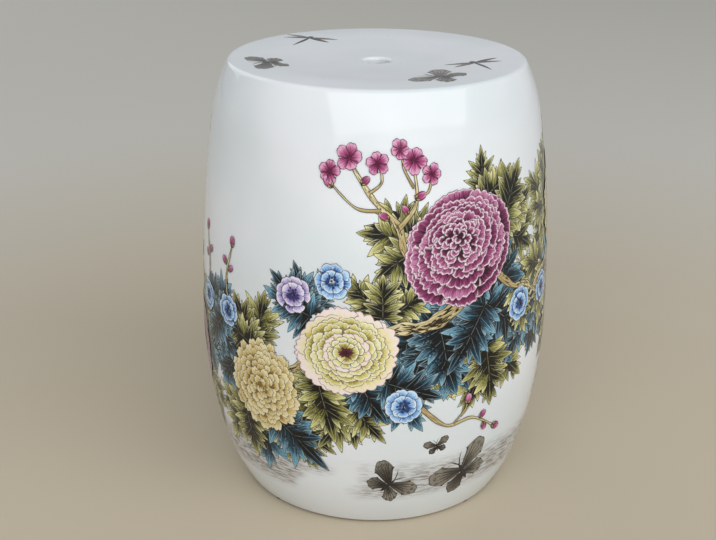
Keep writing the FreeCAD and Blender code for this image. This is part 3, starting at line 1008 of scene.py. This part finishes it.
# Branches: points, start width, end width
BRANCHES = (
    (((120, 288), (84, 258), (52, 240), (22, 238), (-12, 222)), 9.0, 5.0),
    (((-50, 212), (-78, 190), (-104, 174)), 5.5, 4.5),
    (((124, 286), (152, 262), (178, 256), (200, 240)), 4.5, 2.2),
    (((52, 296), (30, 312), (22, 340), (0, 362), (-24, 396)), 5.0, 1.8),
    (((22, 336), (40, 360), (38, 392)), 2.8, 1.2),
    (((6, 354), (-18, 356), (-42, 376)), 2.0, 1.0),
    (((-6, 370), (6, 380), (4, 396)), 1.6, 1.0),
    (((38, 366), (52, 370), (56, 386)), 1.6, 1.0),
    (((38, 374), (28, 392), (26, 406)), 1.5, 1.0),
    (((48, 152), (76, 128), (106, 130), (136, 112)), 2.8, 1.2),
    (((84, 128), (96, 142), (98, 150)), 1.3, 0.9),
    (((-160, 218), (-172, 256), (-162, 296)), 2.0, 1.0),
)
# Each branch lies a step over the one before, with the bark's marks and then the sprigs' flowers above them
BRANCH_STEP = 0.012
BARK_MARKS_UP = 0.13
FLOWERS_UP = 0.16
# Branches thicker than this have bark marks, so many for each mm of their width
BARK_WIDTH = 3
BARK_MARKS = 9
# Buds: across, up, turn, size
BUDS = (
    (-42, 374, 40, 13),
    (-14, 378, -50, 11),
    (39, 364, -64, 12),
    (14, 346, 64, 11),
    (32, 350, 30, 10),
    (136, 112, -118, 13),
    (98, 148, -10, 12),
    (116, 126, -40, 11),
    (122, 120, -160, 11),
    (-162, 294, 0, 12),
    (-171, 274, 50, 11),
    (-168, 268, -50, 10),
)
# Plum blossoms: across, up, radius
BLOSSOMS = ((-26, 402, 13), (-46, 388, 11), (2, 398, 11), (38, 400, 13), (56, 386, 10), (24, 410, 10))
# Insects: across, up, turn, span, motif
INSECTS = {
    "front": ((106, 63, 34, 70, butterfly), (18, 60, -46, 56, butterfly), (68, 104, 12, 26, butterfly)),
    "right": ((90, 84, -24, 62, butterfly), (-90, 388, 30, 50, dragonfly)),
    "left": ((96, 78, 20, 60, butterfly), (-108, 380, -30, 52, dragonfly)),
    "seat": (
        (62, -88, 64, 62, butterfly),
        (100, -30, 24, 58, dragonfly),
        (-76, 84, -20, 58, dragonfly),
        (-106, -34, 110, 54, butterfly),
    ),
}
# How each enamel is brushed
LEAF_BRUSH = {"streak": 0.8, "strength": 0.8, "vein": 0.2, "tones": 0.22, "shade": 0.14}
BRUSHES = {
    "magenta": {"rim": 2.7, "streak": 1.6, "tones": 0.16, "shade": 0.2},
    "cream": {"rim": 2.2, "streak": 1.3, "tones": 0.2, "shade": 0.08},
    "blush": {"rim": 2.8, "streak": 1.6, "tones": 0.2},
    "gold": {"rim": 1.5, "streak": 0.9, "tones": 0.2},
    "blue": {"rim": 1.8, "streak": 1.0, "tones": 0.15},
    "violet": {"rim": 1.8, "streak": 1.0, "tones": 0.15},
    "heart": {"rim": 0.8, "streak": 0.8},
    "teal": {"rim": 1.3, "lines": 0.75, **LEAF_BRUSH},
    "olive": {"rim": 1.5, "lines": 0.65, **LEAF_BRUSH},
    "bark": {"rim": 1.4, "streak": 1.4, "strength": 0.4, "lines": 0.7},
    "bud": {"rim": 1.0, "streak": 0.9, "strength": 0.3},
    "wash": {"rim": 1.8, "streak": 0.8, "strength": 0.7, "lines": 0.6, "tones": 0.25},
}
# The motif, the name of the piece and the enamels of each large bloom
BLOOMS = {
    "rosette": (rosette, "magenta_rosette", ("magenta",)),
    "pompon": (pompon, "golden_pompon", ("gold",)),
    "anemone": (anemone, "cream_anemone", ("cream", "blush", "heart")),
}
# Blooms are a little wider than tall, and lie over the asters
BLOOM_SHAPE = Matrix.Diagonal((1, 0.88, 1, 1))
BLOOM_UP = 0.1


def spray_pose(spray, across, up, turn=0.0):
    """A pose on a spray."""
    return pose(spray.middle + spray.side * across, up, spray.side * turn)


def free_layer(spot, size, laid):
    """The lowest layer with room for a leaf at a spot, or else the one with the most; notes the leaf."""
    room = [math.inf] * LEAF_LAYERS
    for other, reach, layer in laid:
        room[layer] = min(room[layer], (other - spot).length - 0.5 * (size + reach))
    found = next((layer for layer, gap in enumerate(room) if gap > 0), room.index(max(room)))
    laid.append((spot, size, found))
    return found


@contextmanager
def painting(scene, spray, name, families, dice):
    """Gives a painter for some strokes of a spray, and then makes them a piece of the stool."""
    painter = Painter(spray.canvas(scene.stool_sizes), dice)
    yield painter
    painter.settle()
    materials = []
    for family in families:
        fired = bpy.data.materials.get(family + " enamel")
        outline = scene.painting_sizes.outline
        materials.append(fired or enamel(family, scene.stool_colours, outline, **BRUSHES[family]))
    place_piece(painter.done, f"{name}_{spray.name}", materials)


class STOOL_OT_glazed_body(Operator):
    """Turn the seat, the two wall sections and the foot ring, and glaze them"""

    bl_idname = "stool.glazed_body"
    bl_label = "Glazed body"

    def execute(self, context):
        sizes = context.scene.stool_sizes
        glaze = porcelain_glaze(context.scene.stool_colours)
        biscuit = bare_porcelain(context.scene.stool_colours)
        parts = (
            ("glazed_seat", "seat_top", seat_section),
            ("glazed_upper_barrel", "upper_barrel", upper_section),
            ("glazed_lower_barrel", "lower_barrel", lower_section),
            ("glazed_foot_ring", "foot_ring", foot_section),
        )
        for name, node, draw in parts:
            mesh = draw(sizes).turn(sizes.sides)
            if node == "foot_ring":
                round_foot(mesh, sizes)
            piece = place_piece(mesh, name, (glaze, biscuit), SHARP)
            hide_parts(node)
        return {"FINISHED"}


class STOOL_OT_bare_parts(Operator):
    """Finish the clay coils inside the stool and the pads under it"""

    bl_idname = "stool.bare_parts"
    bl_label = "Coils and pads"

    def execute(self, context):
        biscuit = bpy.data.materials["bare biscuit porcelain"]
        rubber = pad_rubber(context.scene.stool_colours)
        for node, material in (("shoulder_coil", biscuit), ("belly_coil", biscuit), ("foot_pads", rubber)):
            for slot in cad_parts[node].material_slots:
                slot.material = material
        return {"FINISHED"}


class STOOL_OT_leaves(Operator):
    """Paint the cut leaves of each spray"""

    bl_idname = "stool.leaves"
    bl_label = "Leaves"

    def execute(self, context):
        lift = context.scene.painting_sizes.leaf_lift
        for spray in SPRAYS:
            dice = random.Random(spray.seed)
            laid = []
            with painting(context.scene, spray, "leaves", ("teal", "olive"), dice) as painter:
                for across, up, middle, spread, count, reach, paint in LEAF_FANS:
                    for place in range(count):
                        turn = middle + spread * (place / (count - 1) - 0.5) + dice.uniform(-8, 8)
                        at = spray_pose(spray, across, up, turn) @ pose(0, dice.uniform(0, 10))
                        size = reach * dice.uniform(0.85, 1.12)
                        layer = free_layer(at @ Vector((0, size / 2, 0)), size, laid)
                        leaf(painter, at, size, lift + LEAF_LAYER * layer, dice.uniform(-0.16, 0.16), paint)
        return {"FINISHED"}


class STOOL_OT_branches(Operator):
    """Paint the branches, the buds and the plum blossoms of each spray"""

    bl_idname = "stool.branches"
    bl_label = "Branches"

    def execute(self, context):
        lift = context.scene.painting_sizes.branch_lift
        for spray in SPRAYS:
            dice = random.Random(spray.seed + 1)
            with painting(context.scene, spray, "branches", ("bark",), dice) as painter:
                for level, (points, start, end) in enumerate(BRANCHES):
                    path = [(spray.middle + spray.side * across, up) for across, up in points]
                    shape = ribbon(path, start, end)
                    cells = (4, 12 * len(path))
                    painter.stroke(shape, Matrix(), lift + BRANCH_STEP * level, cells, hidden=-0.8)
                    if start > BARK_WIDTH:
                        bark_marks(painter, shape, lift + BARK_MARKS_UP, int(BARK_MARKS * start))
            with painting(context.scene, spray, "blossom_sprig", ("bud", "bark"), dice) as painter:
                for across, up, turn, size in BUDS:
                    bud(painter, spray_pose(spray, across, up, turn), size, lift + FLOWERS_UP)
                for across, up, radius in BLOSSOMS:
                    at = spray_pose(spray, across, up, dice.uniform(0, 72))
                    blossom(painter, at, radius, lift + FLOWERS_UP)
        return {"FINISHED"}


class STOOL_OT_blooms(Operator):
    """Paint the large blooms and the small asters of each spray"""

    bl_idname = "stool.blooms"
    bl_label = "Blooms"

    def execute(self, context):
        lift = context.scene.painting_sizes.bloom_lift
        for spray in SPRAYS:
            dice = random.Random(spray.seed + 2)
            with painting(context.scene, spray, "asters", ("blue", "violet"), dice) as painter:
                for across, up, radius, paint in ASTERS:
                    aster(painter, spray_pose(spray, across, up, dice.uniform(0, 45)), radius, lift, paint)
            for (across, up, radius, turn), kind in zip(HEADS, spray.blooms):
                draw, name, families = BLOOMS[kind]
                at = spray_pose(spray, across, up, turn) @ BLOOM_SHAPE
                with painting(context.scene, spray, name, families, dice) as painter:
                    draw(painter, at, radius, lift + BLOOM_UP)
        return {"FINISHED"}


class STOOL_OT_insects(Operator):
    """Paint the ink-wash butterflies and dragonflies on the side and on the seat"""

    bl_idname = "stool.insects"
    bl_label = "Insects"

    def execute(self, context):
        lift = context.scene.painting_sizes.leaf_lift
        for spray in (*SPRAYS, SEAT):
            dice = random.Random(spray.seed + 3)
            with painting(context.scene, spray, "insects", ("wash",), dice) as painter:
                for across, up, turn, span, draw in INSECTS[spray.name]:
                    draw(painter, spray_pose(spray, across, up, turn), span, lift)
        return {"FINISHED"}


# Lamps: place, size, and the setting that holds the power. The window is a bright part over dim low panes.
LAMPS = {
    "window": ((0.95, -2.9, 2.62), (7.6, 2.85), "window_power"),
    "low panes": ((1.1, -3.85, 1.1), (7.6, 0.75), "panes_power"),
    "fill": ((-3.2, 3.8, 2.8), (3.5, 3.5), "fill_power"),
}
# The floor pales between these distances from the stool's axis
FLOOR_PALES = (0.3, 1.6)


class STOOL_OT_stage(Operator):
    """Set up the camera, the floor, the window light and the light of the room"""

    bl_idname = "stool.stage"
    bl_label = "Stage"

    def execute(self, context):
        settings = context.scene.stage_settings
        colours = context.scene.stool_colours
        self.camera(context.scene, settings)
        self.floor(context.scene, settings, colours)
        for name, (place, size, power) in LAMPS.items():
            self.lamp(context.scene, name, Vector(place), size, settings.lamp_aim, getattr(settings, power))
        world = bpy.data.worlds.new("room")
        world.use_nodes = True
        background = world.node_tree.nodes["Background"]
        background.inputs["Color"].default_value = tuple(colours.sky)
        background.inputs["Strength"].default_value = settings.room_strength
        context.scene.world = world
        context.scene.view_settings.view_transform = "Standard"
        return {"FINISHED"}

    def camera(self, scene, settings):
        """The camera that took the photograph, as its lines give it."""
        data = bpy.data.cameras.new("camera")
        data.sensor_fit = "HORIZONTAL"
        data.sensor_width = settings.sensor
        data.lens = settings.lens
        camera = bpy.data.objects.new("camera", data)
        camera.matrix_world = (
            Matrix.Translation((0, -settings.camera_back, settings.camera_height))
            @ Matrix.Rotation(settings.camera_yaw, 4, "Z")
            @ Matrix.Rotation(math.pi / 2 - settings.camera_pitch, 4, "X")
            @ Matrix.Rotation(settings.camera_roll, 4, "Z")
        )
        scene.collection.objects.link(camera)
        scene.camera = camera

    def floor(self, scene, settings, colours):
        """A plain round floor, warm near the stool and pale far from it."""
        mesh = bmesh.new()
        bmesh.ops.create_circle(mesh, cap_ends=True, radius=settings.floor_radius, segments=96)
        data = bpy.data.meshes.new("floor")
        mesh.to_mesh(data)
        mesh.free()
        material = new_material("matt painted board")
        tree = material.node_tree
        place = add(tree, "ShaderNodeTexCoord").outputs["Object"]
        away = add(tree, "ShaderNodeVectorMath", {0: place}, operation="LENGTH").outputs["Value"]
        base = coat(tree, tuple(colours.floor), tuple(colours.floor_far), Reach(away, *FLOOR_PALES))
        surface(material, {"Base Color": base, "Roughness": 0.9, "Specular IOR Level": 0.15})
        data.materials.append(material)
        floor = bpy.data.objects.new("floor", data)
        scene.collection.objects.link(floor)

    def lamp(self, scene, name, place, size, aim, power):
        """A broad soft light that faces the stool."""
        data = bpy.data.lights.new(name, "AREA")
        data.shape = "RECTANGLE"
        data.size, data.size_y = size
        data.energy = power
        light = bpy.data.objects.new(name, data)
        facing = (Vector((0, 0, aim)) - place).to_track_quat("-Z", "Y")
        light.matrix_world = Matrix.Translation(place) @ facing.to_matrix().to_4x4()
        scene.collection.objects.link(light)


class STOOL_PT_parts(Panel):
    """The steps that make the stool, in order"""

    bl_label = "Garden stool"
    bl_idname = "STOOL_PT_parts"
    bl_space_type = "VIEW_3D"
    bl_region_type = "UI"
    bl_category = "Garden Stool"

    def draw(self, context):
        for operator in OPERATORS:
            self.layout.operator(operator.bl_idname)


GROUPS = {
    "stool_sizes": StoolSizes,
    "stool_colours": StoolColours,
    "painting_sizes": PaintingSizes,
    "stage_settings": StageSettings,
}
OPERATORS = (
    STOOL_OT_stage,
    STOOL_OT_glazed_body,
    STOOL_OT_bare_parts,
    STOOL_OT_leaves,
    STOOL_OT_branches,
    STOOL_OT_blooms,
    STOOL_OT_insects,
)
CLASSES = (*GROUPS.values(), *OPERATORS, STOOL_PT_parts)


def register():
    for kind in CLASSES:
        bpy.utils.register_class(kind)
    for name, group in GROUPS.items():
        setattr(bpy.types.Scene, name, PointerProperty(type=group))


def unregister():
    for name in GROUPS:
        delattr(bpy.types.Scene, name)
    for kind in reversed(CLASSES):
        bpy.utils.unregister_class(kind)


def main():
    register()
    bpy.ops.stool.stage()
    bpy.ops.stool.glazed_body()
    bpy.ops.stool.bare_parts()
    bpy.ops.stool.leaves()
    bpy.ops.stool.branches()
    bpy.ops.stool.blooms()
    bpy.ops.stool.insects()


if __name__ == "__main__":
    main()
